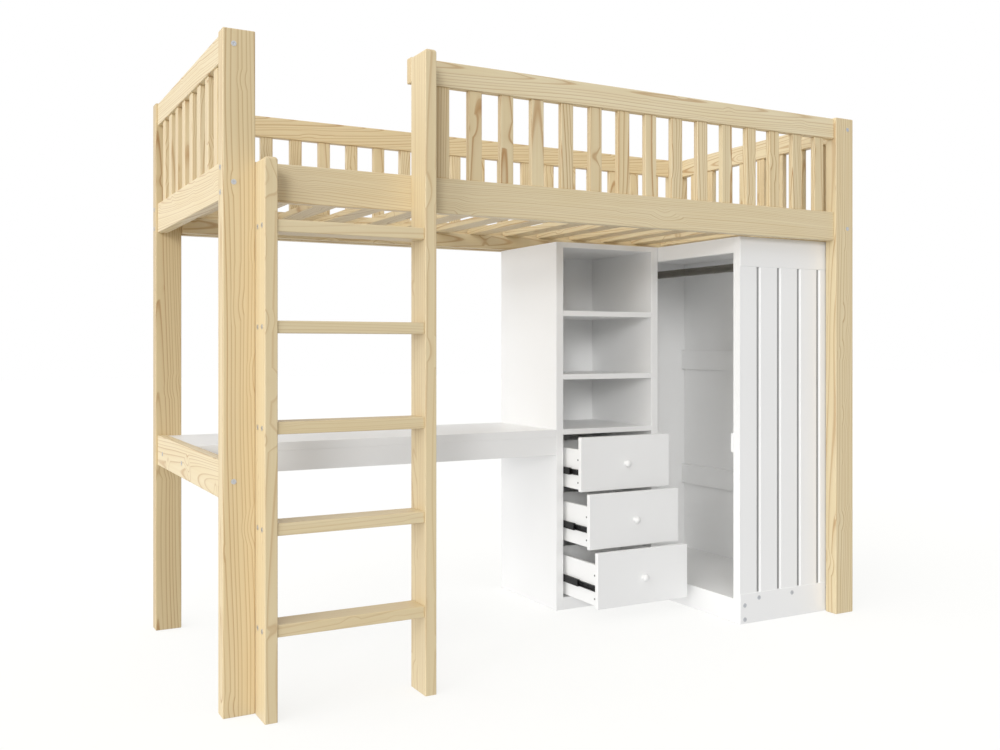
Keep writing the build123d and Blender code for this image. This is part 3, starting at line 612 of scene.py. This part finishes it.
def build_world(strength):
    """White walls all round: seen as white, and shining as the soft boxes say."""
    world = bpy.data.worlds.new("white_studio")
    world.use_nodes = True
    tree = world.node_tree
    tree.nodes.clear()
    way = node(tree, "TexCoord").outputs["Generated"]
    height = node(tree, "SeparateXYZ", way).outputs["Z"]
    above = node(tree, "Math", height, 0.0, operation="GREATER_THAN")
    glow = node(tree, "MapRange", above, 0.0, 1.0, LOWER_GLOW, UPPER_GLOW)
    for toward, bright in SOFT_BOXES:
        match = node(tree, "VectorMath", way, Vector(toward).normalized(),
                     operation="DOT_PRODUCT")
        lit = node(tree, "Math", match.outputs["Value"], 0.0, operation="MAXIMUM")
        falloff = node(tree, "Math", lit, 4.0, operation="POWER")
        glow = node(tree, "Math", falloff, bright, glow, operation="MULTIPLY_ADD")
    lights = node(tree, "Background", glow, strength)
    seen = node(tree, "Background", (1, 1, 1, 1), 1.0)
    path = node(tree, "LightPath").outputs
    share = node(tree, "Math", path["Is Glossy Ray"], 0.6, path["Is Camera Ray"],
                 operation="MULTIPLY_ADD")
    both = node(tree, "MixShader", share, lights, seen)
    node(tree, "OutputWorld", both)
    return world


def add_sun(name, travel, energy, angle):
    """A soft light from far away, shining along a direction."""
    lamp = bpy.data.lights.new(name, "SUN")
    lamp.energy = energy
    lamp.angle = math.radians(angle)
    obj = bpy.data.objects.new(name, lamp)
    obj.rotation_euler = Vector(travel).to_track_quat("-Z", "Y").to_euler()
    bpy.context.scene.collection.objects.link(obj)
    return obj


# ------------------------------------------------------------------ operators
class LOFTBED_OT_pine_frame(bpy.types.Operator):
    """Give every pine board its own grain"""
    bl_idname = "loftbed.pine_frame"
    bl_label = "Pine frame"

    def execute(self, context):
        for name, values in PINE_BOARDS.items():
            dress(pine(name, *values), name)
        return {"FINISHED"}


LACQUERED = ("desk_top", "desk_apron", "desk_end_cleat", "tower_", "wardrobe_",
             "drawer_front_", "drawer_knob_")


class LOFTBED_OT_white_boards(bpy.types.Operator):
    """Lacquer the desk, tower, wardrobe and drawers"""
    bl_idname = "loftbed.white_boards"
    bl_label = "White boards"

    def execute(self, context):
        settings = context.scene.loftbed_finish
        white = tuple(settings.lacquer_colour)
        lacquer = white_lacquer("satin_white_lacquer", white, 0.34)
        foil = white_lacquer("white_foil_board", tuple(settings.foil_colour), 0.42)
        front_low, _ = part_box("wardrobe_front_boards")
        front = white_lacquer("lacquered_grooved_front", white, 0.34,
                              ("X", front_low[0] + FIRST_GROOVE))
        end_low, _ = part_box("wardrobe_end_panel")
        end = white_lacquer("lacquered_grooved_end", white, 0.34, ("Y", end_low[1]))
        for name in NODES:
            if name.startswith(LACQUERED):
                dress(lacquer, name)
            elif name.startswith("drawer_box_"):
                dress(foil, name)
        dress(front, "wardrobe_front_boards")
        dress(end, "wardrobe_end_panel")
        return {"FINISHED"}


class LOFTBED_OT_hardware(bpy.types.Operator):
    """Plate the bolts, screws and hanging rail, coat the slides and add small fittings"""
    bl_idname = "loftbed.hardware"
    bl_label = "Hardware"

    def execute(self, context):
        zinc = plated_steel("bright_zinc_plate", "#B0B3B7", "#E0E2E5", 0.46)
        # The tube's dark taupe colour is a painted reflection: it stands for bright metal
        # mirroring the dark inside of the wardrobe.
        tube = plated_steel("drawn_steel_tube", "#6A665C", "#8C8880", 0.3, (1.0, 0.03, 1.0))
        black = coated_steel("black_electro_coat", "#030303", "#0C0C0D", 0.5)
        nylon = coated_steel("moulded_black_nylon", "#040404", "#0F0F10", 0.6)
        grey = plated_steel("dull_zinc_plate", "#4E4F51", "#77787A", 0.5)
        dress(zinc, "frame_bolts", "cabinet_screws")
        dress(tube, "hanging_rail", "hanging_rail_sockets")
        dress(black, *[n for n in NODES if n.startswith("slide_")])
        slide_fittings(black, nylon, grey)
        frame_fittings(zinc, context.scene.loftbed_finish.slat_screw_radius)
        return {"FINISHED"}


class LOFTBED_OT_stage(bpy.types.Operator):
    """Lay the floor, light it softly from the left and place the camera"""
    bl_idname = "loftbed.stage"
    bl_label = "Stage"

    def execute(self, context):
        settings = context.scene.loftbed_stage
        build_floor(tuple(settings.floor_colour))
        context.scene.world = build_world(settings.fill_strength)
        add_sun("soft_key", KEY_TRAVEL, settings.key_strength, KEY_WIDTH)
        add_sun("soft_front", FRONT_TRAVEL, settings.front_strength, FRONT_WIDTH)
        camera = bpy.data.cameras.new("camera")
        camera.lens = LENS
        camera.sensor_width = SENSOR_WIDTH
        camera.shift_x, camera.shift_y = LENS_SHIFT
        camera.clip_end = 200.0
        eye = bpy.data.objects.new("camera", camera)
        eye.location = (*CAMERA_PLACE, settings.camera_height)
        eye.rotation_euler = (math.pi / 2, 0, CAMERA_TURN)
        context.scene.collection.objects.link(eye)
        context.scene.camera = eye
        context.scene.view_settings.view_transform = "Standard"
        context.scene.view_settings.gamma = 1.2
        return {"FINISHED"}


class LOFTBED_PT_panel(bpy.types.Panel):
    """Buttons for each group of pieces"""
    bl_idname = "LOFTBED_PT_panel"
    bl_label = "Loft Bed"
    bl_space_type = "VIEW_3D"
    bl_region_type = "UI"
    bl_category = "Loft Bed"

    def draw(self, context):
        for operator in OPERATORS:
            self.layout.operator(operator.bl_idname)
        for group, settings in ((LoftBedFinish, context.scene.loftbed_finish),
                                (LoftBedStage, context.scene.loftbed_stage)):
            for name in group.__annotations__:
                self.layout.prop(settings, name)


OPERATORS = (LOFTBED_OT_pine_frame, LOFTBED_OT_white_boards, LOFTBED_OT_hardware,
             LOFTBED_OT_stage)


def register():
    """Register the settings, operators and panel."""
    for cls in (LoftBedFinish, LoftBedStage, *OPERATORS, LOFTBED_PT_panel):
        bpy.utils.register_class(cls)
    bpy.types.Scene.loftbed_finish = bpy.props.PointerProperty(type=LoftBedFinish)
    bpy.types.Scene.loftbed_stage = bpy.props.PointerProperty(type=LoftBedStage)


def unregister():
    """Take them away again."""
    del bpy.types.Scene.loftbed_finish
    del bpy.types.Scene.loftbed_stage
    for cls in (LOFTBED_PT_panel, *reversed(OPERATORS), LoftBedStage, LoftBedFinish):
        bpy.utils.unregister_class(cls)


def main():
    """Build everything in order."""
    register()
    for operator in OPERATORS:
        category, name = operator.bl_idname.split(".")
        getattr(getattr(bpy.ops, category), name)()


if __name__ == "__main__":
    main()
